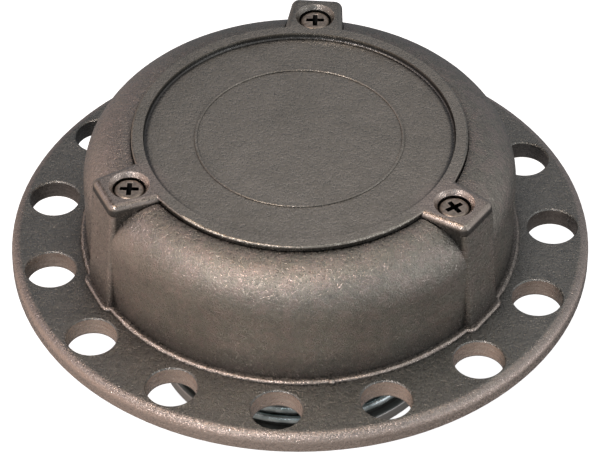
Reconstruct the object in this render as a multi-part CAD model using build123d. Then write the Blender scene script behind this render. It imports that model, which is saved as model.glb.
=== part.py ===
"""Closed flange bonnet with an air-lifted, spring-closed poppet hung under it.

Frame: z = 0 is the mounting face under the flange, the axis is Z, the cover is up and one
cover lug points along +Y. All sizes are in millimetres.
"""
from build123d import *
import math
import os

# ---- flange and bolt circle
FLANGE_R = 101.6
FLANGE_T = 7.0
FLANGE_EDGE_R = 3.4
FLANGE_BACK_EDGE = 0.5
BOLT_COUNT = 15
BOLT_PCD = 177.8
BOLT_HOLE_R = 8.75
BOLT_EDGE = 0.45

# ---- bonnet (the round housing that stands on the flange)
WALL_R = 75.0
CREST_R = 58.3                      # where the rounded shoulder reaches its crest
CREST_Z = FLANGE_T + 43.3
SHOULDER_R = WALL_R - CREST_R
FOOT_BEAD = 2.3                     # width of the cast bead round the foot
FOOT_BEAD_H = 1.2
FOOT_BEAD_EDGE = 1.0
COLUMN_BEAD = 1.7                   # width of the same bead round a column
BURR_ANGLE = -77                    # a small casting burr left on the bead
BURR_R = 1.3

# ---- cover and its three lugs
COVER_R = 58.0
COVER_TOP = FLANGE_T + 45.4
COVER_T = 4.0
COVER_SEAT = COVER_TOP - COVER_T    # face of the housing that the cover sits on
COVER_GAP = 0.3
COVER_EDGE = 0.7
RECESS_R = 53.4
RECESS_DEPTH = 2.0
PLATE_T = 4.0
CAST_RING_R = 35.7
CAST_RING_W = 1.1
CAST_RING_H = 0.4
PIP_AT = (26.5, -46.0)
PIP_R = 1.9
PIP_H = 0.35
LUG_ANGLES = (90, 210, 330)
LUG_ROOT_R = 52.0
LUG_ROOT_HALF = 11.0
LUG_TIP_R = 74.0
LUG_TIP_HALF = 8.9
LUG_CORNER_R = 2.9
LUG_EDGE_R = 2.5                    # rounding of a lug's upper edge
LUG_STEP = 0.03                     # a lug's top is this much below the cover's rim
COLUMN_STEP = 0.12                  # the column stands this much inside the lug above it
COLUMN_FOOT_R = 77.2                # the column's end face leans out to this radius at the flange
COLUMN_CORNER_R = 1.8

# ---- cover screws, no. 12 pan head with a cross recess
SCREW_CIRCLE_R = 63.5
SCREW_HEAD_R = 5.18
SCREW_HEAD_H = 3.6
SCREW_HEAD_TOP = COVER_TOP - 1.7
SCREW_HEAD_EDGE = 1.3
SCREW_R = 2.74
SCREW_LEN = 15.9
SCREW_HOLE_R = 2.78
SCREW_HOLE_SPARE = 2.5
SCREW_TURNS = (4, 2, 38)            # how far each cross recess is turned, degrees
RECESS_SPAN = 6.6                   # cross recess, tip to tip
RECESS_ARM = 1.8
COUNTERBORE_R = 5.75
SPOTFACE_R = 7.0
SPOTFACE_DEPTH = 1.7
LUG_BOSS_R = 7.4                    # locating boss under each lug
LUG_BOSS_Z = SCREW_HEAD_TOP - SCREW_HEAD_H - 2.8
LUG_BOSS_GAP = 0.05

# ---- cylinder, floor and guide boss inside the housing
BORE_R = 50.0
BARREL_R = 57.5
CORE_R = 70.0
CORE_TOP = 43.8
CORE_ROUND = 10.0
COLUMN_WEB_HALF = 9.5
RIB_HALF = 4.5
RIB_ANGLES = (30, 150, 270)
FLOOR_BOTTOM = 10.0
FLOOR_TOP = 16.0
SPRING_WELL_R = 53.2
BOSS_R = 14.0
BOSS_BOTTOM = -8.0
COVER_SEAL_R = 54.2
COVER_SEAL_W = 3.0
COVER_SEAL_H = 2.2
SPIGOT_R = BORE_R - 0.1

# ---- air port at the back lug column, and the breather that vents the cylinder's upper end
PORT_R = 4.3
PORT_Z = 17.5
PORT_DEPTH_R = 63.0                 # the tapped hole ends at this radius
PORT_DRILL_R = 1.5
BREATHER_ANGLE = 150
BREATHER_Z = 40.6
BREATHER_R = 3.0
BREATHER_IN_R = 64.0
BREATHER_OUT_R = 70.5
BREATHER_DRILL_R = 1.4

# ---- stem and what it runs in
STEM_R = 6.35
STEM_RUN = 0.05                     # radial running clearance of every fixed piece round the stem
STEM_NECK_R = 4.76
STEM_TOP = 30.2
STEM_BOTTOM = -46.8
BUSH_R = 8.5
WIPER_POCKET_R = 10.0
WIPER_POCKET_TOP = -4.5
SEAL_POCKET_R = 10.5
SEAL_POCKET_BOTTOM = 9.0
SEAL_T = 3.6
SEAL_WASHER_T = 1.2
CIRCLIP_T = 1.0
CIRCLIP_GROOVE = 0.8
NECK_RING_R = 6.3                   # outside of the two O-rings on the stem's necks
NECK_RING_H = 1.8

# ---- piston
LIFT = 15.0                         # travel of the poppet
REST_GAP = 0.3
PISTON_BOTTOM = FLOOR_TOP + REST_GAP
PISTON_TOP = 29.5
PISTON_R = 49.7
PISTON_SKIRT_R = 46.0
PISTON_SKIRT_H = 3.2
PISTON_HUB_TOP = 21.5
PISTON_CUP_R = 42.0
PISTON_WEB_TOP = 22.5
PISTON_HUB_R = 13.0
GROOVE_IN_R = 46.2
SEAL_GROOVE_Z = (20.7, 23.9)
WEAR_GROOVE_Z = (25.1, 28.1)
PISTON_RUN = 0.05

# ---- return spring
SPRING_R = 50.8                     # outside
WIRE_R = 1.85
SPRING_TURNS = 9.2
SPRING_TOP = 8.0
SPRING_BOTTOM = -42.0
SEAT_RING_IN = 44.4
SEAT_LIP_R = 46.8
SEAT_LIP_Z = 4.0
SEAT_RING_OUT = 52.2

# ---- poppet
POPPET_R = 52.0
POPPET_FACE = -47.0                 # underside of the disc
POPPET_PILOT_R = 46.6
POPPET_PILOT_TOP = -38.0
POPPET_DISH_R = 40.0
POPPET_DISH_Z = -40.0
POPPET_HUB_R = 16.0
COLLAR_R = 10.0
COLLAR_BOTTOM = -36.0
COLLAR_TOP = BOSS_BOTTOM - LIFT - 0.2
NUT_POCKET_R = 11.0
NUT_POCKET_TOP = -40.0
POPPET_SEAL_OUT = 47.3
POPPET_SEAL_IN = 32.2
POPPET_SEAL_LIP = 38.2
POPPET_SEAL_TOP = -45.0
POPPET_SEAL_BOTTOM = -50.5
SEAL_LIP_BOTTOM = -47.5
CLAMP_PLATE_BOTTOM = -50.0
CLAMP_CIRCLE_R = 23.0
CLAMP_COUNT = 6
CLAMP_SCREW_R = 2.0
CLAMP_HEAD_R = 3.9
CLAMP_SCREW_TOP = -42.0
CLAMP_RECESS_SPAN = 4.6
CLAMP_RECESS_ARM = 1.1

# ---- nuts and washers on the stem's two necks
NUT_HALF_FLATS = 7.14
NUT_H = 5.6
STEM_WASHER_R = 9.8
STEM_WASHER_T = 1.2


def profile(corners):
    """Closed face from (x, y) corners; a third value rounds that corner."""
    face = make_face(Polyline(*[corner[:2] for corner in corners], close=True))
    for corner in corners:
        if len(corner) == 3:
            vertex = face.vertices().sort_by_distance(Vector(corner[0], corner[1]))[0]
            face = fillet(vertex, corner[2])
    return face


def turned(corners):
    """Solid of revolution about Z from (radius, height) corners."""
    return revolve(Plane.XZ * profile(corners), Axis.Z)


def rod(radius, z_low, z_high):
    """Plain cylinder about Z."""
    return Pos(0, 0, (z_low + z_high) / 2) * Cylinder(radius, z_high - z_low)


def ring(r_in, r_out, z_low, z_high, edge=0.2):
    """Ring about Z with rounded corners."""
    return turned([(r_in, z_low, edge), (r_out, z_low, edge), (r_out, z_high, edge), (r_in, z_high, edge)])


def radial_rod(radius, r_from, r_to, z, angle):
    """Cylinder that lies along a radius at the given height."""
    lying = Pos((r_from + r_to) / 2, 0, z) * Rot(0, 90, 0) * Cylinder(radius, r_to - r_from)
    return Rot(0, 0, angle) * lying


def around(shape, angles, radius=0.0):
    """Copies of a shape, moved out to a radius and turned to each angle."""
    return [Rot(0, 0, angle) * Pos(radius, 0, 0) * shape for angle in angles]


def lug_outline(grow=0.0, corner=LUG_CORNER_R):
    """Plan of one lug, pointing along +X, grown outwards on every side."""
    root = LUG_ROOT_HALF + grow
    tip = LUG_TIP_HALF + grow
    end = LUG_TIP_R + grow
    return profile([
        (LUG_ROOT_R - 12, -root),
        (LUG_ROOT_R, -root),
        (end, -tip, corner + grow),
        (end, tip, corner + grow),
        (LUG_ROOT_R, root),
        (LUG_ROOT_R - 12, root),
    ])


def lug_half(radius):
    """Half width of a lug at a radius along its centre line."""
    slope = (LUG_ROOT_HALF - LUG_TIP_HALF) / (LUG_TIP_R - LUG_ROOT_R)
    return LUG_ROOT_HALF - slope * (radius - LUG_ROOT_R)


def lug_ear():
    """One lug of the cover, pointing along +X, with its upper edge rounded."""
    ear = extrude(Pos(0, 0, COVER_SEAT) * lug_outline(), COVER_T - LUG_STEP)
    return fillet(ear.edges().group_by(Axis.Z)[-1], LUG_EDGE_R)


def lug_column():
    """One full-height column with upright sides and an end face that leans out to the foot."""
    inner = LUG_ROOT_R - 12
    outer = COLUMN_FOOT_R + 5
    plan = profile([
        (inner, COLUMN_STEP - lug_half(inner)), (outer, COLUMN_STEP - lug_half(outer)),
        (outer, lug_half(outer) - COLUMN_STEP), (inner, lug_half(inner) - COLUMN_STEP),
    ])
    low = FLANGE_T - 4.0
    side = Plane.XZ * profile([
        (inner, low), (COLUMN_FOOT_R, low), (COLUMN_FOOT_R, FLANGE_T),
        (LUG_TIP_R - COLUMN_STEP, COVER_SEAT), (inner, COVER_SEAT),
    ])
    column = extrude(Pos(0, 0, low) * plan, COVER_SEAT - low) & extrude(side, 2 * outer, both=True)
    return fillet(column.edges().sort_by(Axis.X)[-8:].filter_by(
        lambda edge: abs(edge.tangent_at(0.5).Z) > 0.9), COLUMN_CORNER_R)


def cover_outline(grow=0.0):
    """Plan of the cover: a disc with its three lugs."""
    outline = Circle(COVER_R + grow)
    for lug in around(lug_outline(grow), LUG_ANGLES):
        outline += lug
    return outline


def column_bead():
    """Cast bead round the foot of one column."""
    end = COLUMN_FOOT_R + COLUMN_BEAD
    half = lug_half(COLUMN_FOOT_R) + COLUMN_BEAD
    corner = COLUMN_CORNER_R + COLUMN_BEAD
    block = extrude(Pos(0, 0, FLANGE_T - 1) * profile([
        (LUG_ROOT_R, -half), (end, -half, corner), (end, half, corner), (LUG_ROOT_R, half),
    ]), FOOT_BEAD_H + 1)
    return fillet(block.edges().group_by(Axis.Z)[-1], FOOT_BEAD_EDGE)


def bonnet_shell():
    """The flange disc, the round wall with its shoulder, the columns and the foot bead."""
    shell = turned([
        (0, 0), (FLANGE_R, 0, FLANGE_BACK_EDGE), (FLANGE_R, FLANGE_T, FLANGE_EDGE_R), (0, FLANGE_T),
    ])
    shell += turned([
        (0, FLANGE_T - 3), (WALL_R, FLANGE_T - 3), (WALL_R, CREST_Z, SHOULDER_R - 0.01), (0, CREST_Z),
    ])
    out = WALL_R + FOOT_BEAD
    top = FLANGE_T + FOOT_BEAD_H
    shell += turned([(0, FLANGE_T - 2), (out, FLANGE_T - 2), (out, top, FOOT_BEAD_EDGE), (0, top)])
    for piece in around(column_bead(), LUG_ANGLES) + around(lug_column(), LUG_ANGLES):
        shell += piece
    burr = Pos(out - 0.6, 0, FLANGE_T + 0.4) * Sphere(BURR_R)
    return shell + Rot(0, 0, BURR_ANGLE) * burr


def cover_seat_cut():
    """Space that the cover and its lug bosses take out of the housing."""
    cut = extrude(Pos(0, 0, COVER_SEAT) * cover_outline(COVER_GAP), COVER_TOP)
    boss = rod(LUG_BOSS_R + LUG_BOSS_GAP, LUG_BOSS_Z, COVER_SEAT + 1)
    for pocket in around(boss, LUG_ANGLES, SCREW_CIRCLE_R):
        cut += pocket
    return cut


def core_pockets():
    """Annular cored space between barrel and wall, broken by webs and ribs, open below."""
    pocket = turned([
        (BARREL_R, -1), (CORE_R, -1), (CORE_R, CORE_TOP, CORE_ROUND), (BARREL_R, CORE_TOP, 2.0),
    ])
    webs = around(Box(60, 2 * COLUMN_WEB_HALF, 120), LUG_ANGLES, CORE_R)
    ribs = around(Box(60, 2 * RIB_HALF, 120), RIB_ANGLES, CORE_R)
    for wall in webs + ribs:
        pocket -= wall
    return pocket


def cylinder_cut():
    """Cylinder bore, spring well, guide bore and the seal pockets, as one turned space."""
    circlip_z = SEAL_POCKET_BOTTOM + SEAL_T + SEAL_WASHER_T
    cut = turned([(0, FLOOR_TOP), (BORE_R, FLOOR_TOP, 1.0), (BORE_R, COVER_TOP), (0, COVER_TOP)])
    cut += turned([
        (BOSS_R, BOSS_BOTTOM - 1), (SPRING_WELL_R, BOSS_BOTTOM - 1),
        (SPRING_WELL_R, FLOOR_BOTTOM, 1.0), (BOSS_R, FLOOR_BOTTOM, 3.0),
    ])
    cut += rod(BUSH_R, BOSS_BOTTOM - 1, SEAL_POCKET_BOTTOM + 1)
    cut += rod(WIPER_POCKET_R, BOSS_BOTTOM - 1, WIPER_POCKET_TOP)
    cut += rod(SEAL_POCKET_R, SEAL_POCKET_BOTTOM, FLOOR_TOP + 1)
    cut += rod(SEAL_POCKET_R + CIRCLIP_GROOVE, circlip_z, circlip_z + CIRCLIP_T)
    return cut


def flange_housing():
    """The cast body: bolting flange, bonnet, cylinder barrel, floor and guide boss."""
    body = bonnet_shell()
    body += rod(BOSS_R, BOSS_BOTTOM, FLOOR_BOTTOM)
    body -= core_pockets()
    body -= cover_seat_cut()
    body -= cylinder_cut()
    groove_in = COVER_SEAL_R - COVER_SEAL_W / 2
    groove = rod(groove_in + COVER_SEAL_W, COVER_SEAT - COVER_SEAL_H, COVER_SEAT + 1)
    body -= groove - rod(groove_in, COVER_SEAT - COVER_SEAL_H - 1, COVER_SEAT + 2)
    screw_tip = SCREW_HEAD_TOP - SCREW_HEAD_H - SCREW_LEN
    screw_hole = rod(SCREW_HOLE_R, screw_tip - SCREW_HOLE_SPARE, COVER_TOP)
    for hole in around(screw_hole, LUG_ANGLES, SCREW_CIRCLE_R):
        body -= hole
    body -= radial_rod(PORT_R, PORT_DEPTH_R, WALL_R + 10, PORT_Z, LUG_ANGLES[0])
    body -= radial_rod(PORT_DRILL_R, BORE_R - 1, PORT_DEPTH_R + 1, PORT_Z, LUG_ANGLES[0])
    body -= radial_rod(BREATHER_R, BREATHER_IN_R, WALL_R + 10, BREATHER_Z, BREATHER_ANGLE)
    body -= radial_rod(BREATHER_DRILL_R, BORE_R - 1, BREATHER_IN_R + 1, BREATHER_Z, BREATHER_ANGLE)
    bolt_hole = turned([
        (0, -1), (BOLT_HOLE_R, -1), (BOLT_HOLE_R, FLANGE_T - BOLT_EDGE),
        (BOLT_HOLE_R + BOLT_EDGE, FLANGE_T), (BOLT_HOLE_R + BOLT_EDGE, FLANGE_T + 1), (0, FLANGE_T + 1),
    ])
    step = 360 / BOLT_COUNT
    for hole in around(bolt_hole, [90 + step * (i + 0.5) for i in range(BOLT_COUNT)], BOLT_PCD / 2):
        body -= hole
    return body


def top_cover():
    """Round cover with three lugs, a sunk face, a cast ring on it and a locating spigot below."""
    cover = turned([
        (0, COVER_SEAT), (COVER_R, COVER_SEAT), (COVER_R, COVER_TOP, COVER_EDGE), (0, COVER_TOP),
    ])
    for ear in around(lug_ear(), LUG_ANGLES):
        cover += ear
    cover -= turned([
        (0, COVER_TOP - RECESS_DEPTH), (RECESS_R, COVER_TOP - RECESS_DEPTH, 0.5),
        (RECESS_R + 0.4, COVER_TOP + 0.1), (0, COVER_TOP + 0.1),
    ])
    plate_bottom = COVER_TOP - RECESS_DEPTH - PLATE_T
    cover += turned([(0, plate_bottom), (SPIGOT_R, plate_bottom, 0.6), (SPIGOT_R, COVER_SEAT + 0.5),
                     (0, COVER_SEAT + 0.5)])
    face = COVER_TOP - RECESS_DEPTH
    ring_in = CAST_RING_R - CAST_RING_W / 2
    cover += turned([
        (ring_in, face - 0.5), (ring_in + CAST_RING_W, face - 0.5),
        (ring_in + CAST_RING_W, face + CAST_RING_H, 0.3), (ring_in, face + CAST_RING_H, 0.3),
    ])
    pip = turned([(0, -0.5), (PIP_R, -0.5), (PIP_R, PIP_H, 0.3), (0, PIP_H)])
    cover += Pos(PIP_AT[0], PIP_AT[1], face) * pip
    head_seat = SCREW_HEAD_TOP - SCREW_HEAD_H
    for boss in around(rod(LUG_BOSS_R, LUG_BOSS_Z + 0.1, COVER_SEAT + 0.5), LUG_ANGLES, SCREW_CIRCLE_R):
        cover += boss
    pocket = turned([
        (0, head_seat), (COUNTERBORE_R, head_seat, 0.4), (COUNTERBORE_R, COVER_TOP - SPOTFACE_DEPTH),
        (SPOTFACE_R, COVER_TOP), (SPOTFACE_R, COVER_TOP + 1), (0, COVER_TOP + 1),
    ])
    pocket += rod(SCREW_HOLE_R + 0.3, LUG_BOSS_Z - 1, head_seat + 1)
    for hole in around(pocket, LUG_ANGLES, SCREW_CIRCLE_R):
        cover -= hole
    return cover


def cross_recess(span, arm):
    """Tapered cross that a screwdriver fits, cut down from z = 0."""
    depth = 0.4 * span
    arms = Box(span, arm, 4 * depth) + Box(arm, span, 4 * depth)
    return arms & Pos(0, 0, -depth / 2) * Cone(0.22 * span, 0.52 * span, depth + 0.1)


def cover_screws():
    """Three pan-head screws."""
    seat = SCREW_HEAD_TOP - SCREW_HEAD_H
    screw = turned([
        (0, seat - SCREW_LEN), (SCREW_R, seat - SCREW_LEN, 0.6), (SCREW_R, seat), (SCREW_HEAD_R, seat, 0.3),
        (SCREW_HEAD_R, SCREW_HEAD_TOP, SCREW_HEAD_EDGE), (0, SCREW_HEAD_TOP),
    ])
    recess = Pos(0, 0, SCREW_HEAD_TOP) * cross_recess(RECESS_SPAN, RECESS_ARM)
    screws = []
    for angle, turn in zip(LUG_ANGLES, SCREW_TURNS):
        cut = screw - Rot(0, 0, turn - angle) * recess
        screws.append(Rot(0, 0, angle) * Pos(SCREW_CIRCLE_R, 0, 0) * cut)
    return screws


def cover_o_ring():
    """Face seal, pressed flat in its groove under the cover."""
    r_in = COVER_SEAL_R - COVER_SEAL_W / 2 + 0.1
    return ring(r_in, r_in + COVER_SEAL_W - 0.2, COVER_SEAT - COVER_SEAL_H, COVER_SEAT, 0.9)


def breather_plug():
    """Sintered plug that lets the upper end of the cylinder breathe."""
    plug = radial_rod(BREATHER_R, BREATHER_IN_R, BREATHER_OUT_R, BREATHER_Z, 0)
    outer = plug.edges().group_by(Axis.X)[-1]
    return Rot(0, 0, BREATHER_ANGLE) * fillet(outer, 0.8)


def stem_bush():
    return ring(STEM_R + STEM_RUN, BUSH_R, WIPER_POCKET_TOP, SEAL_POCKET_BOTTOM, 0.3)


def stem_wiper():
    """Wiper ring at the open end of the guide, with a lip that leans down the stem."""
    top = WIPER_POCKET_TOP
    return turned([
        (STEM_R + 0.6, top), (WIPER_POCKET_R, top), (WIPER_POCKET_R, BOSS_BOTTOM, 0.3),
        (STEM_R + 1.6, BOSS_BOTTOM), (STEM_R + STEM_RUN, BOSS_BOTTOM + 0.9), (STEM_R + STEM_RUN, top - 1.4),
    ])


def stem_seal():
    """Lip seal for air pressure, grooved on its upper, pressure side."""
    low = SEAL_POCKET_BOTTOM
    high = low + SEAL_T
    mid = (STEM_R + SEAL_POCKET_R) / 2
    return turned([
        (STEM_R + STEM_RUN, low, 0.4), (SEAL_POCKET_R, low, 0.4), (SEAL_POCKET_R, high), (mid + 0.9, high),
        (mid, high - 1.5), (mid - 0.9, high), (STEM_R + STEM_RUN, high),
    ])


def stem_seal_washer():
    low = SEAL_POCKET_BOTTOM + SEAL_T
    return ring(STEM_R + 0.3, SEAL_POCKET_R - 0.1, low, low + SEAL_WASHER_T)


def seal_circlip():
    """Internal circlip that holds the stem seal: an open ring with two eyes."""
    low = SEAL_POCKET_BOTTOM + SEAL_T + SEAL_WASHER_T
    high = low + CIRCLIP_T
    outer = SEAL_POCKET_R + CIRCLIP_GROOVE - 0.05
    clip = rod(outer, low, high) - rod(outer - 1.9, low - 1, high + 1)
    clip -= Pos(outer, 0, (low + high) / 2) * Box(8, 3.0, 3)
    for side in (-1, 1):
        eye = rod(1.5, low, high) - rod(0.6, low - 1, high + 1)
        clip += Rot(0, 0, side * 14) * Pos(SEAL_POCKET_R - 1.7, 0, 0) * eye
    return clip


def spring_seat_ring():
    """L-shaped steel ring that seats and centres the spring's upper end."""
    return turned([
        (SEAT_RING_IN, SEAT_LIP_Z, 0.6), (SEAT_LIP_R, SEAT_LIP_Z, 0.6), (SEAT_LIP_R, SPRING_TOP),
        (SEAT_RING_OUT, SPRING_TOP, 0.4), (SEAT_RING_OUT, FLOOR_BOTTOM, 0.4),
        (SEAT_RING_IN, FLOOR_BOTTOM, 0.4),
    ])


def return_spring():
    """Round-wire compression spring with ends ground flat."""
    length = SPRING_TOP - SPRING_BOTTOM
    pitch = length / SPRING_TURNS
    path = Helix(pitch, length, SPRING_R - WIRE_R)
    wire = sweep(Plane(origin=path @ 0, z_dir=path % 0) * Circle(WIRE_R), path=path, is_frenet=True)
    wire = Pos(0, 0, SPRING_BOTTOM) * wire
    slab = rod(SPRING_R + 5, SPRING_BOTTOM, SPRING_TOP)
    return wire & slab


def stem():
    """Turned stem: long running part, stop collar, and a threaded neck at each end."""
    return turned([
        (0, STEM_BOTTOM), (STEM_NECK_R, STEM_BOTTOM, 0.6), (STEM_NECK_R, COLLAR_BOTTOM),
        (COLLAR_R, COLLAR_BOTTOM), (COLLAR_R, COLLAR_TOP, 0.5), (STEM_R, COLLAR_TOP),
        (STEM_R, PISTON_BOTTOM), (STEM_NECK_R, PISTON_BOTTOM), (STEM_NECK_R, STEM_TOP, 0.6), (0, STEM_TOP),
    ])


def piston():
    """Cupped piston with a skirt step for air, a seal groove and a wear ring groove."""
    neck = STEM_NECK_R + 0.04
    body = turned([
        (neck, PISTON_BOTTOM), (PISTON_SKIRT_R, PISTON_BOTTOM, 0.5),
        (PISTON_SKIRT_R, PISTON_BOTTOM + PISTON_SKIRT_H), (PISTON_R, PISTON_BOTTOM + PISTON_SKIRT_H, 0.3),
        (PISTON_R, PISTON_TOP, 0.8), (PISTON_CUP_R, PISTON_TOP, 0.8), (PISTON_CUP_R, PISTON_HUB_TOP, 2.0),
        (neck, PISTON_HUB_TOP),
    ])
    for low, high in (SEAL_GROOVE_Z, WEAR_GROOVE_Z):
        body -= rod(PISTON_R + 5, low, high) - rod(GROOVE_IN_R, low - 1, high + 1)
    ring_mid = (PISTON_BOTTOM + PISTON_HUB_TOP) / 2
    return body - rod(NECK_RING_R, ring_mid - NECK_RING_H / 2, ring_mid + NECK_RING_H / 2)


def piston_seal():
    """Lip seal in the piston's lower groove, open towards the air side."""
    low, high = SEAL_GROOVE_Z
    out = BORE_R - PISTON_RUN
    return turned([
        (GROOVE_IN_R, low), (GROOVE_IN_R + 1.1, low), (GROOVE_IN_R + 1.8, low + 1.2), (out - 1.0, low),
        (out, low), (out, high, 0.5), (GROOVE_IN_R, high, 0.3),
    ])


def piston_wear_ring():
    """Split guide ring in the piston's upper groove."""
    low, high = WEAR_GROOVE_Z
    band = ring(GROOVE_IN_R, BORE_R - PISTON_RUN, low, high, 0.3)
    return band - Rot(0, 0, 200) * Pos(BORE_R - 2, 0, (low + high) / 2) * Box(10, 1.2, 8)


def neck_o_ring(middle):
    """O-ring pressed into a groove round one of the stem's necks."""
    return ring(STEM_NECK_R, NECK_RING_R, middle - NECK_RING_H / 2, middle + NECK_RING_H / 2, 0.5)


def stem_washer(z_low):
    return ring(STEM_NECK_R + 0.15, STEM_WASHER_R, z_low, z_low + STEM_WASHER_T)


def stem_nut(z_low):
    """Thin hexagon locknut with chamfered corners."""
    corner_r = NUT_HALF_FLATS / math.cos(math.radians(30))
    hexagon = extrude(Pos(0, 0, z_low) * RegularPolygon(corner_r, 6), NUT_H)
    dome = turned([
        (0, z_low), (corner_r - 0.6, z_low), (corner_r + 0.1, z_low + 0.5),
        (corner_r + 0.1, z_low + NUT_H - 0.5), (corner_r - 0.6, z_low + NUT_H), (0, z_low + NUT_H),
    ])
    return (hexagon & dome) - rod(STEM_NECK_R + 0.02, z_low - 1, z_low + NUT_H + 1)


def poppet_disc():
    """Poppet disc: rim under the spring, pilot inside the spring, dished web and hub."""
    neck = STEM_NECK_R + 0.04
    disc = turned([
        (neck, POPPET_FACE), (POPPET_R, POPPET_FACE, 1.0), (POPPET_R, SPRING_BOTTOM, 0.6),
        (POPPET_PILOT_R, SPRING_BOTTOM), (POPPET_PILOT_R, POPPET_PILOT_TOP, 1.2),
        (POPPET_DISH_R, POPPET_PILOT_TOP, 0.8), (POPPET_DISH_R, POPPET_DISH_Z, 0.8),
        (POPPET_HUB_R, POPPET_DISH_Z, 1.5), (POPPET_HUB_R, COLLAR_BOTTOM, 0.8), (neck, COLLAR_BOTTOM),
    ])
    disc -= rod(NUT_POCKET_R, POPPET_FACE - 1, NUT_POCKET_TOP)
    disc -= rod(POPPET_SEAL_OUT, POPPET_FACE - 1, POPPET_SEAL_TOP) \
        - rod(POPPET_SEAL_IN, POPPET_FACE - 2, POPPET_SEAL_TOP + 1)
    ring_mid = (NUT_POCKET_TOP + COLLAR_BOTTOM) / 2
    disc -= rod(NECK_RING_R, ring_mid - NECK_RING_H / 2, ring_mid + NECK_RING_H / 2)
    hole = rod(CLAMP_SCREW_R + 0.04, POPPET_FACE - 1, CLAMP_SCREW_TOP + 0.6)
    for spot in around(hole, [60 * i for i in range(CLAMP_COUNT)], CLAMP_CIRCLE_R):
        disc -= spot
    return disc


def poppet_seal():
    """Moulded face seal with a clamped inner lip; the part stands on it."""
    return turned([
        (POPPET_SEAL_IN, SEAL_LIP_BOTTOM), (POPPET_SEAL_LIP, SEAL_LIP_BOTTOM),
        (POPPET_SEAL_LIP, POPPET_SEAL_BOTTOM, 0.8), (POPPET_SEAL_OUT, POPPET_SEAL_BOTTOM, 0.8),
        (POPPET_SEAL_OUT, POPPET_SEAL_TOP), (POPPET_SEAL_IN, POPPET_SEAL_TOP),
    ])


def clamp_screw(grow=0.0):
    """Countersunk screw standing head down at z = the plate's underside."""
    low = CLAMP_PLATE_BOTTOM
    slope = CLAMP_HEAD_R - CLAMP_SCREW_R
    return turned([
        (0, low - grow), (CLAMP_HEAD_R + grow, low - grow), (CLAMP_HEAD_R + grow, low + 0.3),
        (CLAMP_SCREW_R + grow, low + 0.3 + slope), (CLAMP_SCREW_R + grow, CLAMP_SCREW_TOP),
        (0, CLAMP_SCREW_TOP),
    ])


def seal_clamp_plate():
    """Closed plate that clamps the seal and covers the stem's lower nut."""
    plate = turned([
        (0, CLAMP_PLATE_BOTTOM), (POPPET_SEAL_LIP - 0.1, CLAMP_PLATE_BOTTOM, 0.5),
        (POPPET_SEAL_LIP - 0.1, SEAL_LIP_BOTTOM), (POPPET_SEAL_IN - 0.1, SEAL_LIP_BOTTOM),
        (POPPET_SEAL_IN - 0.1, POPPET_FACE), (0, POPPET_FACE),
    ])
    for hole in around(clamp_screw(0.03), [60 * i for i in range(CLAMP_COUNT)], CLAMP_CIRCLE_R):
        plate -= hole
    return plate


def clamp_screws():
    """Six countersunk screws with cross recesses."""
    recess = Rot(180, 0, 0) * cross_recess(CLAMP_RECESS_SPAN, CLAMP_RECESS_ARM)
    recess = Pos(0, 0, CLAMP_PLATE_BOTTOM) * recess
    screw = clamp_screw() - recess
    return around(screw, [60 * i for i in range(CLAMP_COUNT)], CLAMP_CIRCLE_R)


PISTON_NECK_MID = (PISTON_BOTTOM + PISTON_HUB_TOP) / 2
POPPET_NECK_MID = (NUT_POCKET_TOP + COLLAR_BOTTOM) / 2

NODES = {
    "flange_housing": flange_housing(),
    "top_cover": top_cover(),
    "cover_screws": cover_screws(),
    "cover_o_ring": cover_o_ring(),
    "breather_plug": breather_plug(),
    "stem_bush": stem_bush(),
    "stem_wiper": stem_wiper(),
    "stem_seal": stem_seal(),
    "stem_seal_washer": stem_seal_washer(),
    "seal_circlip": seal_circlip(),
    "spring_seat_ring": spring_seat_ring(),
    "return_spring": return_spring(),
    "stem": stem(),
    "piston": piston(),
    "piston_seal": piston_seal(),
    "piston_wear_ring": piston_wear_ring(),
    "piston_o_ring": neck_o_ring(PISTON_NECK_MID),
    "piston_washer": stem_washer(PISTON_HUB_TOP),
    "piston_nut": stem_nut(PISTON_HUB_TOP + STEM_WASHER_T),
    "poppet_disc": poppet_disc(),
    "poppet_o_ring": neck_o_ring(POPPET_NECK_MID),
    "poppet_washer": stem_washer(NUT_POCKET_TOP - STEM_WASHER_T),
    "poppet_nut": stem_nut(NUT_POCKET_TOP - STEM_WASHER_T - NUT_H),
    "poppet_seal": poppet_seal(),
    "seal_clamp_plate": seal_clamp_plate(),
    "clamp_screws": clamp_screws(),
}

os.makedirs("parts", exist_ok=True)
for name, shape in NODES.items():
    solids = shape if isinstance(shape, list) else [shape]
    pieces = [solid for item in solids for solid in item.solids()]
    whole = pieces[0] if len(pieces) == 1 else Compound(children=pieces)
    whole.label = name
    export_step(whole, os.path.join("parts", name + ".step"))
    print(name, len(pieces), round(sum(piece.volume for piece in pieces)))
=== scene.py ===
"""Looks for the flange bonnet: camera, light, metals, rubber, and the return spring.

Lengths are in metres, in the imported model's frame, except in the tables that say millimetres.
"""
import math

import bmesh
import bpy
from mathutils import Matrix, Vector


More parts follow.
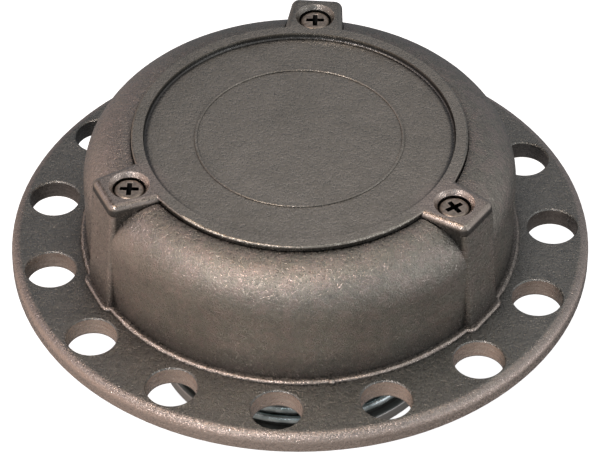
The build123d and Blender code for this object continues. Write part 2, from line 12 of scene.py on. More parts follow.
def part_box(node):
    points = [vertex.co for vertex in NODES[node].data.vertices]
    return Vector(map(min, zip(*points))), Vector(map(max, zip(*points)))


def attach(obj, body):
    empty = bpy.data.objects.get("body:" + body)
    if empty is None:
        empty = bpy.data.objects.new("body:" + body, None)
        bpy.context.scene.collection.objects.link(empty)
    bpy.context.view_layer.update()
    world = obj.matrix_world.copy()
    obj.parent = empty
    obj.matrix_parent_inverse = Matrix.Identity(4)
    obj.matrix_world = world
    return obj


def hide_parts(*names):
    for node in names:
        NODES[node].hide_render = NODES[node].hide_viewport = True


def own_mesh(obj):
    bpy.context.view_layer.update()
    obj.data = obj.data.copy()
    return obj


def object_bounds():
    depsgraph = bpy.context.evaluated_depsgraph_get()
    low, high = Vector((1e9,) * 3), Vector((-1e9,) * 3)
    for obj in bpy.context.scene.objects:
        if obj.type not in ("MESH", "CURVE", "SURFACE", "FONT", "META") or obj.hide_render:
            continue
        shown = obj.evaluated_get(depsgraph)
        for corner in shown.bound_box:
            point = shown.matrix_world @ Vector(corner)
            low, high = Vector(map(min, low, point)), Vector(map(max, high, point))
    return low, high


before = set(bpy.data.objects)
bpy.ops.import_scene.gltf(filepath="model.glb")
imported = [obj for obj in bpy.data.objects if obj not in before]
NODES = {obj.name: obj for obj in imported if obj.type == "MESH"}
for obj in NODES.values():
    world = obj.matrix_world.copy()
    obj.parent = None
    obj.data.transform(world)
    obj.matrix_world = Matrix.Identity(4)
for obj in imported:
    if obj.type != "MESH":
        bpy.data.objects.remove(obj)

MM = 0.001
CAD_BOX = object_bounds()

FLANGE_R = 101.6 * MM
FLANGE_TOP = 7.0 * MM
LUG_AZIMUTHS = (90, 210, 330)
SCREW_CIRCLE_R = 63.5 * MM

# camera: distances in flange radii, angles in degrees
CAMERA_ELEVATION = 42.653
CAMERA_TURN = 5.23
CAMERA_ROLL = -0.299
CAMERA_DISTANCE = 11.712
CAMERA_SLIDE = 0.0115
CAMERA_HALF_WIDTH = 1.04077         # half of the picture's width at the aim point
SENSOR_MM = 36.0
CAMERA_CLIP = 0.05                  # metres

FLOOR_SIZE = 6.0
FLOOR_GLOW = 0.93
FLOOR_TONE = (0.9, 0.9, 0.9, 1.0)
FLOOR_ROUGHNESS = 0.9
WHITE = (1.0, 1.0, 1.0, 1.0)

# soft lamps: name, azimuth, elevation, width in metres, watts, colour
LAMP_DISTANCE = 1.3
LAMPS = (
    ("behind", 90, 62, 0.75, 0.77, (1.00, 0.91, 0.89)),
    ("key_front", -118, 60, 0.22, 1.30, (1.00, 0.87, 0.79)),
    ("key_low", -113, 49, 0.15, 2.35, (1.00, 0.88, 0.86)),
    ("low_right", -24, 16, 0.24, 0.70, (0.97, 0.98, 1.00)),
    ("low_front", -98, 18, 0.05, 0.12, (0.97, 0.98, 1.00)),
    ("key_top", -150, 70, 0.35, 1.62, (1.00, 0.77, 0.60)),
    ("right_high", 0, 62, 0.75, 1.08, (1.00, 0.99, 0.93)),
    ("left_front", -135, 38, 0.75, 0.86, (0.98, 0.90, 0.90)),
    ("left", -180, 38, 0.75, 0.66, (0.75, 0.78, 1.00)),
    ("front", -90, 38, 0.75, 0.52, (0.74, 0.86, 1.00)),
    ("right_front", -45, 38, 0.75, 0.22, (0.90, 0.92, 1.00)),
)
# the surround: broad lobes of light, each from an azimuth and elevation
LOBES = (
    (90, 5, (0.210, 0.217, 0.236)),
    (-90, 5, (0.330, 0.312, 0.296)),
    (5, 12, (0.530, 0.510, 0.510)),
    (-180, 5, (0.570, 0.450, 0.390)),
    (135, -45, (0.085, 0.086, 0.086)),
    (-135, -45, (0.215, 0.180, 0.165)),
    (-45, -45, (0.120, 0.105, 0.096)),
)
LOBE_SHARPNESS = 3.0


# ---------------------------------------------------------------- camera, floor, light

def make_camera():
    """Long lens, aimed at the centre of the flange's upper face."""
    elevation = math.radians(CAMERA_ELEVATION)
    roll = math.radians(CAMERA_ROLL)
    forward = Vector((0, math.cos(elevation), -math.sin(elevation)))
    right = Vector((1, 0, 0))
    up = Vector((0, math.sin(elevation), math.cos(elevation)))
    rolled_right = right * math.cos(roll) + up * math.sin(roll)
    rolled_up = up * math.cos(roll) - right * math.sin(roll)
    place = (-forward * CAMERA_DISTANCE - rolled_up * CAMERA_SLIDE) * FLANGE_R
    turn = Matrix.Rotation(math.radians(CAMERA_TURN), 4, "Z")
    pose = Matrix((rolled_right, rolled_up, -forward)).transposed().to_4x4()
    pose.translation = place
    data = bpy.data.cameras.new("camera")
    data.sensor_width = SENSOR_MM
    data.lens = SENSOR_MM * CAMERA_DISTANCE / (2 * CAMERA_HALF_WIDTH)
    data.clip_start = CAMERA_CLIP
    camera = bpy.data.objects.new("camera", data)
    bpy.context.scene.collection.objects.link(camera)
    camera.matrix_world = Matrix.Translation((0, 0, FLANGE_TOP)) @ turn @ pose
    bpy.context.scene.camera = camera


def direction(azimuth, elevation):
    """Unit vector towards a place in the sky, from angles in degrees."""
    a = math.radians(azimuth)
    e = math.radians(elevation)
    return Vector((math.cos(e) * math.cos(a), math.cos(e) * math.sin(a), math.sin(e)))


def make_lamps():
    """Round soft lamps, all facing the object."""
    for name, azimuth, elevation, width, watts, color in LAMPS:
        data = bpy.data.lights.new(name, "AREA")
        data.shape = "DISK"
        data.size = width
        data.energy = watts
        data.color = color
        lamp = bpy.data.objects.new(name, data)
        bpy.context.scene.collection.objects.link(lamp)
        away = direction(azimuth, elevation)
        lamp.location = away * LAMP_DISTANCE
        lamp.rotation_euler = away.to_track_quat("Z", "Y").to_euler()


def feed(tree, socket, value):
    """Links an output to a socket, or sets the socket's own value."""
    if isinstance(value, bpy.types.NodeSocket):
        tree.links.new(value, socket)
    else:
        socket.default_value = value


def add(tree, kind, *values, **named):
    """Adds a node. Small-letter names set its options, capitalised names feed its sockets."""
    node = tree.nodes.new("ShaderNode" + kind)
    for name, value in named.items():
        if name.islower():
            setattr(node, name, value)
    for socket, value in zip(node.inputs, values):
        feed(tree, socket, value)
    for name, value in named.items():
        if not name.islower():
            feed(tree, node.inputs[name.replace("_", " ")], value)
    return node


def make_surround():
    """World light that changes smoothly with direction, as the sum of the lobes."""
    world = bpy.data.worlds.new("surround")
    bpy.context.scene.world = world
    world.use_nodes = True
    tree = world.node_tree
    look = add(tree, "TexCoord").outputs["Generated"]
    total = None
    for azimuth, elevation, color in LOBES:
        dot = add(tree, "VectorMath", look, direction(azimuth, elevation), operation="DOT_PRODUCT")
        front = add(tree, "Math", dot.outputs["Value"], 0.0, operation="MAXIMUM")
        lobe = add(tree, "Math", front.outputs[0], LOBE_SHARPNESS, operation="POWER")
        tint = add(tree, "VectorMath", color, operation="SCALE", Scale=lobe.outputs[0])
        if total is not None:
            tint = add(tree, "VectorMath", total, tint.outputs[0], operation="ADD")
        total = tint.outputs[0]
    tree.links.new(total, tree.nodes["Background"].inputs["Color"])


def make_floor():
    """Plain pale table under the lowest point of the part."""
    bpy.ops.mesh.primitive_plane_add(size=FLOOR_SIZE, location=(0, 0, CAD_BOX[0][2]))
    floor = bpy.context.object
    floor.name = "floor"
    material = bpy.data.materials.new("floor_white")
    material.use_nodes = True
    shader = material.node_tree.nodes["Principled BSDF"]
    shader.inputs["Base Color"].default_value = FLOOR_TONE
    shader.inputs["Roughness"].default_value = FLOOR_ROUGHNESS
    shader.inputs["Emission Color"].default_value = WHITE
    shader.inputs["Emission Strength"].default_value = FLOOR_GLOW
    floor.data.materials.append(material)
    floor.visible_diffuse = False
    floor.visible_glossy = False


# ---------------------------------------------------------------- tables for the castings

# each noise: grains per metre, detail, roughness, distortion
NOISES = {
    "clouds": (38, 4.0, 0.6, 0.6),
    "blotch": (150, 4.0, 0.65, 0.0),
    "flush": (240, 3.0, 0.6, 0.0),
    "mottle": (360, 3.0, 0.7, 0.0),
    "sand": (800, 3.0, 0.7, 0.0),
    "grain": (1500, 2.0, 0.7, 0.0),
    "patches": (95, 2.0, 0.55, 0.0),
    "dents": (170, 3.0, 0.5, 0.0),
}
# masks by noise: the noise, its value where the mask starts, its value where the mask is full,
# and how strong the mask is at the start if not zero
NOISE_MASKS = {
    "cloudy": ("clouds", 0.35, 0.65),
    "blotchy": ("blotch", 0.42, 0.66),
    "flushed": ("flush", 0.46, 0.60),
    "mottled": ("mottle", 0.45, 0.65),
    "sandy": ("sand", 0.46, 0.70),
    "grain_hollows": ("grain", 0.66, 0.34),
    "rim_grain": ("grain", 0.30, 0.60, 0.5),
    "bead_grain": ("grain", 0.30, 0.60, 0.4),
    "crest_grain": ("grain", 0.30, 0.60, 0.24 / 0.38),
    "worn_grain": ("grain", 0.40, 0.60),
    "seat_grain": ("grain", 0.30, 0.62),
    "rare": ("patches", 0.60, 0.68),
}
# masks by place, in millimetres: the measure, where the mask starts, where it is full, and how
# strong it is at the start if not zero. R is the distance from the Z axis, SIDE the distance
# from X = 0, SCREW the distance in plan from the nearest cover screw's axis.
SUNK_FACE_R = 53.4
SCREW_HEAD_TOP = 50.7
PLACE_MASKS = {
    # the drum and its shoulder
    "above_flange": ("Z", 7.0, 7.6),
    "rear": ("Y", 35.0, 60.0),
    "outside_cover": ("R", 58.5, 60.0),
    "shoulder": ("Z", 30.0, 36.0),
    "east": ("X", 10.0, 50.0),
    "west": ("X", -44.0, -64.0),
    "above_bead": ("Z", 7.5, 8.5),
    "wall_foot": ("Z", 20.0, 8.5),
    "off_flange": ("Z", 7.0, 7.4),
    "lug_height": ("Z", 34.0, 38.0),
    "inside_drum": ("R", 73.5, 72.5),
    # the flange and its rim
    "flange": ("Z", 7.6, 6.8),
    "rim_edge": ("R", 100.4, 101.2),
    "rim_curve": ("R", 98.2, 99.2),
    "rim_upper": ("Z", 3.6, 5.0),
    # the bead round the foot of the drum, and its crest
    "bead_out": ("R", 75.1, 75.5),
    "bead_low": ("Z", 7.1, 7.4),
    "bead_high": ("Z", 8.6, 8.2),
    "bead_front": ("Y", 0.0, -50.0, 0.2),
    "crest_out": ("R", 75.7, 76.4),
    "crest_low": ("Z", 7.7, 8.1),
    "crest_high": ("Z", 8.7, 8.3),
    "crest_front": ("Y", 0.0, -40.0, 0.1),
    "between_columns": ("SIDE", 60.0, 52.0),
    # walls of the bolt holes, and the faced ring under the flange
    "inside_bolt_holes": ("R", 78.8, 78.2, 0.35),
    "hole_bottom": ("Z", 0.2, 0.4),
    "hole_top": ("Z", 6.7, 6.5),
    "hole_inner": ("R", 79.0, 79.4),
    "hole_outer": ("R", 98.8, 98.4),
    "rear_holes": ("Y", -42.0, 26.0),
    "mounting_face": ("Z", 0.10, 0.05),
    "faced_ring": ("R", 70.0, 71.0),
    # the cover
    "round_screws": ("SCREW", 16.0, 9.5),
    "forward": ("Y", 10.0, -10.0),
    "back_lug": ("Y", 56.0, 60.0),
    "step_inner": ("R", SUNK_FACE_R - 1.6, SUNK_FACE_R - 0.8),
    "step_outer": ("R", SUNK_FACE_R + 0.4, SUNK_FACE_R + 0.2),
    "under_top": ("Z", 52.0, 51.6),
    "seat_inner": ("SCREW", 5.6, 5.8),
    "seat_outer": ("SCREW", 7.3, 7.0),
    "seat_height": ("Z", 51.2, 51.4),
    "seat_front": ("Y", 50.0, 30.0, 0.2),
    # the cross recess of the cover screws
    "recess_width": ("SCREW", 3.6, 3.4),
    "recess_depth": ("Z", SCREW_HEAD_TOP - 0.2, SCREW_HEAD_TOP - 0.3),
}
# layers of colour, laid in this order: the colour, its strength, the masks that bound it
SKIN = (
    ((0.66, 0.61, 0.54), 0.30, "blotchy"),
    ((0.27, 0.262, 0.24), 0.30, "sandy"),
)
# the housing's own tones, then painted light and shade on its sides, rim and bead
HOUSING_TONES_AND_PAINTED_LIGHT = (
    ((0.20, 0.20, 0.19), 0.22, "grain_hollows"),
    ((0.23, 0.225, 0.215), 0.34, "mottled"),
    ((0.57, 0.485, 0.45), 0.55, "flushed", "above_flange"),
    # painted shade: the rear of the shoulder, outside the cover, darker
    ((0.13, 0.135, 0.135), 0.30, "rear", "outside_cover", "shoulder"),
    # painted shade: upright faces towards the east side darker
    ((0.16, 0.17, 0.17), 0.22, "upright", "east"),
    # painted light: the west side above the bead lighter and warmer
    ((0.86, 0.74, 0.68), 0.45, "west", "above_bead"),
    # painted shade: upright faces darker towards the foot of the drum, just off the flange
    ((0.10, 0.11, 0.12), 0.60, "upright", "wall_foot", "off_flange"),
    ((0.190, 0.232, 0.255), 0.46, "flange"),
    # painted highlight: the outer rim of the flange pale and warm, broken up by the grain
    ((1.0, 0.86, 0.78), 0.85, "rim_edge", "rim_grain"),
    # painted highlight: a pale band on the rounded top edge of the rim
    ((0.95, 0.79, 0.71), 0.42, "rim_curve", "rim_upper"),
    # painted highlight: the bead round the foot of the drum pale, strongest at the front
    ((1.0, 0.88, 0.80), 0.75, "bead_out", "bead_low", "bead_high", "bead_grain", "bead_front"),
)
HOUSING_PAINTED_LIGHT_AND_SHADE = (
    # painted highlight on the crest of the bead between the columns, strongest at the front
    ((0.86, 0.74, 0.66), 0.38, "crest_out", "crest_low", "crest_high", "crest_front",
     "between_columns", "crest_grain"),
    # painted shade on the upright faces inside the drum at the lugs' height, beside and under the lugs
    ((0.075, 0.080, 0.080), 0.80, "upright", "lug_height", "inside_drum"),
)
COVER_SEATS_AND_PAINTED_LIGHT = (
    # painted light: the ears round the screws of the front lugs lighter and warmer
    ((0.68, 0.575, 0.53), 0.50, "round_screws", "forward"),
    # painted shade: the back lug darker
    ((0.20, 0.21, 0.21), 0.30, "back_lug"),
    # painted shade in the step round the sunk face of the cover
    ((0.09, 0.095, 0.10), 0.80, "step_inner", "step_outer"),
    # painted shade on the upright faces under the cover's top: its edge and the sides of the lugs
    ((0.085, 0.088, 0.088), 0.85, "upright", "under_top"),
    # the machined seat round each screw is paler, with a painted highlight that is strongest on the
    # front lugs
    ((1.0, 0.88, 0.80), 0.60, "seat_inner", "seat_outer", "seat_height", "seat_grain", "seat_front"),
)
PAINTED_RECESS_SHADE = (
    # painted shade: the cross recess of the cover screws painted near black
    ((0.006, 0.006, 0.006), 1.0, "recess_width", "recess_depth"),
)
# painted shade in the corners: how far the corner's shade reaches in millimetres, strength, colour
CORNER_SHADES = (
    (3.0, 0.60, (0.07, 0.07, 0.07)),
    (7.0, 0.55, (0.09, 0.09, 0.09)),
    (18.0, 0.58, (0.12, 0.12, 0.12)),
)
# bare metal, from its dark to its light parts
CAST_COLORS = ((0.475, 0.452, 0.400), (0.545, 0.518, 0.462))
# roughness of the castings: from and to, as the sum of grain and sand goes from and to
CAST_GRAIN_SUM = (0.80, 1.20)
CAST_ROUGHNESS = (0.16, 0.46)
PITS_PER_METRE = 420
PIT_EDGE = 0.16                     # distance from a cell's middle at which its pit ends
PIT_STRENGTH = 0.6
PIT_COLOR = (0.12, 0.115, 0.11)
PIT_RELIEF = -0.10                  # millimetres
RUBBED_REACH = 0.8                  # millimetres round a corner
RUBBED_BEND = (0.02, 0.20)          # bend of the corner where rubbing starts, and where it is full
RUBBED_COLOR = (0.98, 0.85, 0.75)
SHELTER_REACH = 2.5                 # millimetres: nothing rubs this near the bottom of a corner
# drilled walls and faced ring: noise or rings per metre, and the colours from dark to light; the lit
# wall colours paint light on the front holes, the shaded ones paint shade on the rear holes
DRILL_NOISE = (1500, 2.0, 0.6)
DRILL_STRETCH = (0.1, 0.1, 1.0)
LIT_WALL_COLORS = ((0.80, 0.66, 0.58), (1.0, 0.88, 0.79))
SHADED_WALL_COLORS = ((0.13, 0.135, 0.14), (0.21, 0.21, 0.21))
FACING_RINGS = 2200
FACED_COLORS = ((0.52, 0.52, 0.50), (0.74, 0.73, 0.71))
# each casting: layers before and after the wear, strength of the rubbed corners, and the relief
# of its dents, sand and grain in millimetres
HOUSING_LOOK = (SKIN + HOUSING_TONES_AND_PAINTED_LIGHT, HOUSING_PAINTED_LIGHT_AND_SHADE, 0.55, (0.22, 0.34, 0.24))
COVER_LOOK = (SKIN, COVER_SEATS_AND_PAINTED_LIGHT, 0.12, (0.12, 0.10, 0.11))

# ---------------------------------------------------------------- tables for the other materials

# values of a noise between which a pattern goes from one end to the other
FAIR = (0.35, 0.65)
WIDE = (0.3, 0.7)
# dark and light colour of each pattern
ZINC_COLORS = ((0.30, 0.37, 0.38), (0.62, 0.71, 0.73))
SCREW_COLORS = ((0.36, 0.32, 0.28), (0.60, 0.53, 0.46))
TURNED_COLORS = ((0.40, 0.40, 0.39), (0.66, 0.66, 0.65))
GROUND_COLORS = ((0.50, 0.50, 0.49), (0.70, 0.70, 0.69))
RUBBER_COLORS = ((0.014, 0.014, 0.015), (0.040, 0.039, 0.038))
BRONZE_COLORS = ((0.42, 0.27, 0.12), (0.13, 0.08, 0.04))     # grains first, then pores
PLASTIC_COLORS = ((0.16, 0.11, 0.06), (0.30, 0.21, 0.12))
CIRCLIP_COLORS = ((0.030, 0.030, 0.031), (0.075, 0.073, 0.070))
# corners that are rubbed, and corners darkened with painted shade: reach in millimetres, strength,
# colour
SCREW_RIM = (0.6, 0.8, (0.95, 0.84, 0.74))
SCREW_CORNER_SHADE = (0.6, 0.6, (0.03, 0.03, 0.03))
RUBBER_RIM = (0.5, 0.4, (0.09, 0.088, 0.085))
ZINC_CORNER_SHADE = (2.0, 0.6, (0.10, 0.12, 0.12))
TURNED_CORNER_SHADE = (1.5, 0.5, (0.06, 0.06, 0.06))


# ---------------------------------------------------------------- material helpers

class Maker:
    """A material under construction: short calls that add and join nodes."""

    CORNER_SAMPLES = 6
    OPENNESS = (0.35, 0.9)          # open share of the sky: a deep corner, and open metal
    LEVELNESS = (0.25, 0.5)         # Z of the normal: a wall, and a slope
    EASY_BEND = (0.004, 0.12)       # bend of a corner where wear starts, and where it is full
    RING_NOISE = (2.0, 0.6)         # detail and roughness

    def __init__(self, name, metallic, roughness):
        self.material = bpy.data.materials.new(name)
        self.material.use_nodes = True
        self.tree = self.material.node_tree
        self.shader = self.tree.nodes["Principled BSDF"]
        self.shader.inputs["Metallic"].default_value = metallic
        self.shader.inputs["Roughness"].default_value = roughness
        self.place = self.add("TexCoord").outputs["Object"]
        self.axes = self.add("SeparateXYZ", self.place).outputs
        self.measures = {}

    def add(self, kind, *values, **named):
        return add(self.tree, kind, *values, **named)

    def noise(self, per_metre, detail=3.0, rough=0.55, distort=0.0, place=None):
        return self.add("TexNoise", Vector=place or self.place, Scale=per_metre, Detail=detail,
                        Roughness=rough, Distortion=distort).outputs["Fac"]

    def cells(self, per_metre):
        return self.add("TexVoronoi", Vector=self.place, Scale=per_metre).outputs["Distance"]

    def span(self, value, low, high, new_low=0.0, new_high=1.0):
        """Maps low..high to new_low..new_high, and holds the ends."""
        return self.add("MapRange", Value=value, From_Min=low, From_Max=high,
                        To_Min=new_low, To_Max=new_high).outputs["Result"]

    def math(self, kind, a, b=0.0):
        return self.add("Math", a, b, operation=kind).outputs[0]

    def both(self, *masks):
        """The masks and strengths multiplied together."""
        whole = masks[0]
        for mask in masks[1:]:
            whole = self.math("MULTIPLY", whole, mask)
        return whole

    def mix(self, factor, a, b):
        return self.add("Mix", data_type="RGBA", Factor=factor, A=a, B=b).outputs["Result"]

    def blend(self, pattern, span, colors):
        """The dark and the light colour, mixed by a noise between two of its values."""
        return self.mix(self.span(pattern, *span), *(rgb(*color) for color in colors))

    def stretched(self, x, y, z):
        return self.add("Mapping", Vector=self.place, Scale=(x, y, z)).outputs["Vector"]

    def rings(self, distance, per_metre):
        """Noise that changes with one distance only, so it runs in rings about Z."""
        place = self.add("CombineXYZ", distance).outputs[0]
        return self.noise(per_metre, *self.RING_NOISE, place=place)

    def measure(self, name):
        """A measure of the place on the part, or one of the table's noises. Each is made once."""
        if name not in self.measures:
            if name in NOISES:
                made = self.noise(*NOISES[name])
            elif name == "R":
                x, y = self.axes["X"], self.axes["Y"]
                made = self.math("SQRT", self.math("ADD", self.both(x, x), self.both(y, y)))
            elif name == "SIDE":
                made = self.math("ABSOLUTE", self.axes["X"])
            elif name == "SCREW":
                made = self.near_screws()
            else:
                made = self.axes[name]
            self.measures[name] = made
        return self.measures[name]

    def near_screws(self):
        """Distance in plan to the nearest cover screw's axis."""
        flat = self.stretched(1.0, 1.0, 0.0)
        nearest = None
        for azimuth in LUG_AZIMUTHS:
            axis = direction(azimuth, 0) * SCREW_CIRCLE_R
            gap = self.add("VectorMath", flat, axis, operation="DISTANCE").outputs["Value"]
            nearest = gap if nearest is None else self.math("MINIMUM", nearest, gap)
        return nearest

    def mask(self, name):
        """A mask from the tables, or upright."""
        if name == "upright":
            return self.upright()
        if name in NOISE_MASKS:
            noise, low, high, *start = NOISE_MASKS[name]
            return self.span(self.measure(noise), low, high, *start)
        measure, low, high, *start = PLACE_MASKS[name]
        return self.span(self.measure(measure), low * MM, high * MM, *start)

    def masks(self, *names):
        return self.both(*map(self.mask, names))

    def lay(self, tone, layers):
        """Lays colours over the tone in order, each where all its masks meet."""
        for color, strength, *names in layers:
            tone = self.mix(self.both(self.masks(*names), strength), tone, rgb(*color))
        return tone

    def edge_wear(self, radius, bend=EASY_BEND):
        """High where a rounded corner bends within the radius."""
        bevel = self.add("Bevel", samples=self.CORNER_SAMPLES, Radius=radius).outputs["Normal"]
        normal = self.add("NewGeometry").outputs["Normal"]
        dot = self.add("VectorMath", bevel, normal, operation="DOT_PRODUCT").outputs["Value"]
        return self.span(self.math("SUBTRACT", 1.0, dot), *bend)

    def crevice(self, distance):
        """Near one in a deep corner, zero in the open."""
        node = self.add("AmbientOcclusion", samples=self.CORNER_SAMPLES, Distance=distance)
        return self.span(node.outputs["AO"], *self.OPENNESS, 1.0, 0.0)

    def upright(self):
        """One on a wall, zero on a face that looks up or down."""
        normal = self.add("SeparateXYZ", self.add("NewGeometry").outputs["Normal"])
        return self.span(self.math("ABSOLUTE", normal.outputs["Z"]), *self.LEVELNESS, 1.0, 0.0)

    def rub(self, tone, reach, strength, color):
        """Wears the corners down to a paler colour."""
        return self.mix(self.both(self.edge_wear(reach * MM), strength), tone, rgb(*color))

    def shade_corners(self, tone, reach, strength, color):
        """Darkens the corners with painted shade."""
        return self.mix(self.both(self.crevice(reach * MM), strength), tone, rgb(*color))

    def bump(self, height, depth, under=None):
        """Relief of the given depth, on top of the relief under it."""
        node = self.add("Bump", Distance=depth, Height=height)
        if under is not None:
            feed(self.tree, node.inputs["Normal"], under)
        return node.outputs["Normal"]

    def finish(self, color, roughness, normal):
        for name, value in (("Base Color", color), ("Roughness", roughness), ("Normal", normal)):
            feed(self.tree, self.shader.inputs[name], value)
        return self.material


def rgb(red, green, blue):
    return (red, green, blue, 1.0)


def dress(material, *names):
    for name in names:
        slots = NODES[name].data.materials
        slots.clear()
        slots.append(material)


# ---------------------------------------------------------------- materials

def cast_aluminium(name, before, after, rubbing, relief, machined):
    """Tumbled casting: warm grey, fine matt grain, cloudy stains, rubbed corners, painted shade in
    recesses and corners, painted light and shade on some sides and edges.
    """
    m = Maker(name, metallic=1.0, roughness=0.42)
    sand, grain = m.measure("sand"), m.measure("grain")
    pits = m.both(m.span(m.cells(PITS_PER_METRE), 0.0, PIT_EDGE, 1.0, 0.0), m.mask("rare"))
    tone = m.mix(m.mask("cloudy"), *(rgb(*color) for color in CAST_COLORS))
    tone = m.lay(tone, before)
    tone = m.mix(m.both(pits, PIT_STRENGTH), tone, rgb(*PIT_COLOR))
    exposed = m.math("SUBTRACT", 1.0, m.crevice(SHELTER_REACH * MM))
    corners = m.edge_wear(RUBBED_REACH * MM, RUBBED_BEND)
    worn = m.both(corners, m.masks("worn_grain", "inside_bolt_holes"), exposed, rubbing)
    tone = m.mix(worn, tone, rgb(*RUBBED_COLOR))
    # painted shade in the corners, at three reaches
    for crevice in CORNER_SHADES:
        tone = m.shade_corners(tone, *crevice)
    # painted light and shade laid over the wear, with the cover's seats
    tone = m.lay(tone, after)
    if machined:
        tone = machine(m, tone)
    normal = None
    for height, depth in zip((m.measure("dents"), sand, grain, pits), (*relief, PIT_RELIEF)):
        normal = m.bump(height, depth * MM, normal)
    rough = m.span(m.math("ADD", grain, sand), *CAST_GRAIN_SUM, *CAST_ROUGHNESS)
    return m.finish(tone, rough, normal)


def machine(m, tone):
    """Drilled walls of the bolt holes, painted light on the front walls and painted shade on the rear
    walls, and the ring faced under the flange.
    """
    walls = m.masks("upright", "hole_bottom", "hole_top", "hole_inner", "hole_outer")
    marks = m.noise(*DRILL_NOISE, place=m.stretched(*DRILL_STRETCH))
    # the front holes' walls carry painted light, the rear holes' walls painted shade
    bright = m.blend(marks, FAIR, LIT_WALL_COLORS)
    shaded_walls = m.blend(marks, FAIR, SHADED_WALL_COLORS)
    tone = m.mix(walls, tone, m.mix(m.mask("rear_holes"), bright, shaded_walls))
    faced = m.blend(m.rings(m.measure("R"), FACING_RINGS), WIDE, FACED_COLORS)
    return m.mix(m.masks("mounting_face", "faced_ring"), tone, faced)


def bright_zinc():
    """Plated wire and pressings: bluish bright metal with a faint drawn grain."""
    m = Maker("bright_zinc", metallic=1.0, roughness=0.18)
    haze = m.noise(260, detail=3.0, rough=0.6)
    fine = m.noise(2400, detail=2.0)
    # painted shade in the corners
    tone = m.shade_corners(m.blend(haze, FAIR, ZINC_COLORS), *ZINC_CORNER_SHADE)
    rough = m.span(haze, *WIDE, new_low=0.14, new_high=0.30)
    return m.finish(tone, rough, m.bump(fine, 0.02 * MM))


def screw_metal():
    """Dull plated screws: brownish film, rubbed rim, painted shade in the corners, and the recess
    painted near black as shade.
    """
    m = Maker("screw_metal", metallic=0.9, roughness=0.38)
    film = m.noise(900, detail=3.0, rough=0.6)
    tone = m.rub(m.blend(film, FAIR, SCREW_COLORS), *SCREW_RIM)
    # painted shade in the corners, then the recess painted near black as shade
    tone = m.lay(m.shade_corners(tone, *SCREW_CORNER_SHADE), PAINTED_RECESS_SHADE)
    rough = m.span(film, *WIDE, new_low=0.28, new_high=0.50)
    return m.finish(tone, rough, m.bump(film, 0.04 * MM))


def turned_metal(name, colors, lines_per_metre, rough_low, rough_high):
    """Lathe-turned part: fine circular tool marks about Z, with a light stain."""
    m = Maker(name, metallic=1.0, roughness=0.3)
    rings = m.rings(m.math("ADD", m.measure("R"), m.measure("Z")), lines_per_metre)
    stain = m.span(m.noise(120, detail=3.0, rough=0.6), 0.45, 0.7, new_low=0.0, new_high=0.35)
    tone = m.mix(stain, m.blend(rings, WIDE, colors), rgb(*colors[0]))
    rough = m.span(rings, *WIDE, rough_low, rough_high)
    # painted shade in the corners
    return m.finish(m.shade_corners(tone, *TURNED_CORNER_SHADE), rough, m.bump(rings, 0.03 * MM))


def moulded_rubber():
    """Black rubber: dusty, slightly uneven, with worn pale corners."""
    m = Maker("moulded_rubber", metallic=0.0, roughness=0.7)
    dust = m.noise(420, detail=4.0, rough=0.65)
    fine = m.noise(3000, detail=2.0)
    tone = m.rub(m.blend(dust, (0.35, 0.7), RUBBER_COLORS), *RUBBER_RIM)
    rough = m.span(dust, *WIDE, new_low=0.55, new_high=0.80)
    return m.finish(tone, rough, m.bump(fine, 0.03 * MM))


def sintered_bronze():
    """Porous bronze: coppery grains with dark pores."""
    m = Maker("sintered_bronze", metallic=0.9, roughness=0.45)
    grain = m.cells(2600)
    rough = m.span(grain, 0.1, 0.6, new_low=0.35, new_high=0.70)
    return m.finish(m.blend(grain, (0.15, 0.6), BRONZE_COLORS), rough, m.bump(grain, -0.08 * MM))


def filled_plastic():
    """Bronze-filled guide strip: brown with fine flecks."""
    m = Maker("filled_plastic", metallic=0.0, roughness=0.5)
    fleck = m.noise(3200, detail=2.0, rough=0.7)
    rough = m.span(fleck, *WIDE, new_low=0.4, new_high=0.6)
    return m.finish(m.blend(fleck, (0.4, 0.62), PLASTIC_COLORS), rough, m.bump(fleck, 0.02 * MM))


def dark_spring_steel():
    """Phosphated circlip: near black with a fine crystal grain."""
    m = Maker("dark_spring_steel", metallic=0.6, roughness=0.5)
    grain = m.noise(2800, detail=3.0, rough=0.7)
    rough = m.span(grain, *WIDE, new_low=0.4, new_high=0.6)
    return m.finish(m.blend(grain, FAIR, CIRCLIP_COLORS), rough, m.bump(grain, 0.02 * MM))


def dress_all(zinc):
    dress(cast_aluminium("cast_housing", *HOUSING_LOOK, machined=True), "flange_housing")
    dress(cast_aluminium("cast_cover", *COVER_LOOK, machined=False), "top_cover")
    dress(screw_metal(), "cover_screws", "clamp_screws")
    dress(zinc, "stem_seal_washer", "spring_seat_ring", "piston_washer", "piston_nut", "poppet_washer",
          "poppet_nut", "return_spring")
    dress(turned_metal("turned_aluminium", TURNED_COLORS, 1500, 0.26, 0.42), "piston", "poppet_disc")
    dress(turned_metal("ground_stainless", GROUND_COLORS, 2600, 0.14, 0.26), "stem", "seal_clamp_plate")
    dress(moulded_rubber(), "cover_o_ring", "stem_wiper", "stem_seal", "piston_seal", "piston_o_ring",
          "poppet_o_ring", "poppet_seal")
    dress(sintered_bronze(), "stem_bush", "breather_plug")
    dress(filled_plastic(), "piston_wear_ring")
    dress(dark_spring_steel(), "seal_circlip")


# ---------------------------------------------------------------- the return spring

WIRE_R = 1.85 * MM
WIRE_SIDES = 16
SPRING_STEPS = 72                   # rings of the wire's mesh in one turn
CLOSED_TURNS = 0.9                  # turns at each end that lie close together
TOTAL_TURNS = 9.2
CLOSED_PITCH = 2 * WIRE_R * 1.02    # rise of one closed turn
GRIND_DEPTH = 0.55                  # share of the wire's radius left after the end is ground


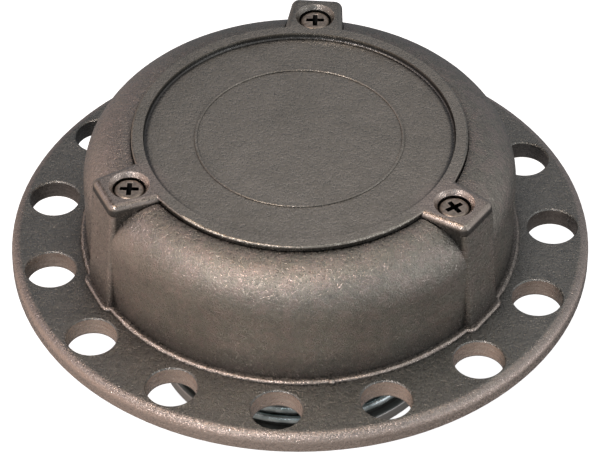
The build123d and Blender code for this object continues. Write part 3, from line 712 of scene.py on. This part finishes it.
def spring_height(turn, low, high):
    """Height of the wire's middle after so many turns: close at both ends, open between."""
    first = low + WIRE_R * GRIND_DEPTH
    last = high - WIRE_R * GRIND_DEPTH
    open_turns = TOTAL_TURNS - 2 * CLOSED_TURNS
    rise = last - first - 2 * CLOSED_TURNS * CLOSED_PITCH
    if turn < CLOSED_TURNS:
        return first + turn * CLOSED_PITCH
    if turn > TOTAL_TURNS - CLOSED_TURNS:
        return last - (TOTAL_TURNS - turn) * CLOSED_PITCH
    share = (turn - CLOSED_TURNS) / open_turns
    return first + CLOSED_TURNS * CLOSED_PITCH + rise * share


def make_spring(material):
    """Round-wire spring with closed, ground ends, in the space of the CAD spring."""
    low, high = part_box("return_spring")
    mean_r = high.x - WIRE_R
    mesh = bmesh.new()
    steps = round(TOTAL_TURNS * SPRING_STEPS)
    rings = []
    for i in range(steps + 1):
        turn = TOTAL_TURNS * i / steps
        angle = 2 * math.pi * turn
        height = spring_height(turn, low.z, high.z)
        ring = []
        for k in range(WIRE_SIDES):
            lean = 2 * math.pi * k / WIRE_SIDES
            r = mean_r + WIRE_R * math.cos(lean)
            z = min(max(height + WIRE_R * math.sin(lean), low.z), high.z)
            ring.append(mesh.verts.new((r * math.cos(angle), r * math.sin(angle), z)))
        rings.append(ring)
    for a, b in zip(rings, rings[1:]):
        for k in range(WIRE_SIDES):
            n = (k + 1) % WIRE_SIDES
            mesh.faces.new((a[k], b[k], b[n], a[n]))
    mesh.faces.new(rings[0])
    mesh.faces.new(rings[-1][::-1])
    bmesh.ops.recalc_face_normals(mesh, faces=mesh.faces)
    for face in mesh.faces:
        face.smooth = len(face.verts) == 4
    data = bpy.data.meshes.new("spring_coils")
    mesh.to_mesh(data)
    mesh.free()
    spring = bpy.data.objects.new("spring_coils", data)
    bpy.context.scene.collection.objects.link(spring)
    data.materials.append(material)
    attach(spring, "valve_body")
    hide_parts("return_spring")
    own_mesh(spring)


make_camera()
bpy.context.scene.view_settings.view_transform = "Standard"
make_lamps()
make_surround()
make_floor()
zinc_metal = bright_zinc()
dress_all(zinc_metal)
make_spring(zinc_metal)
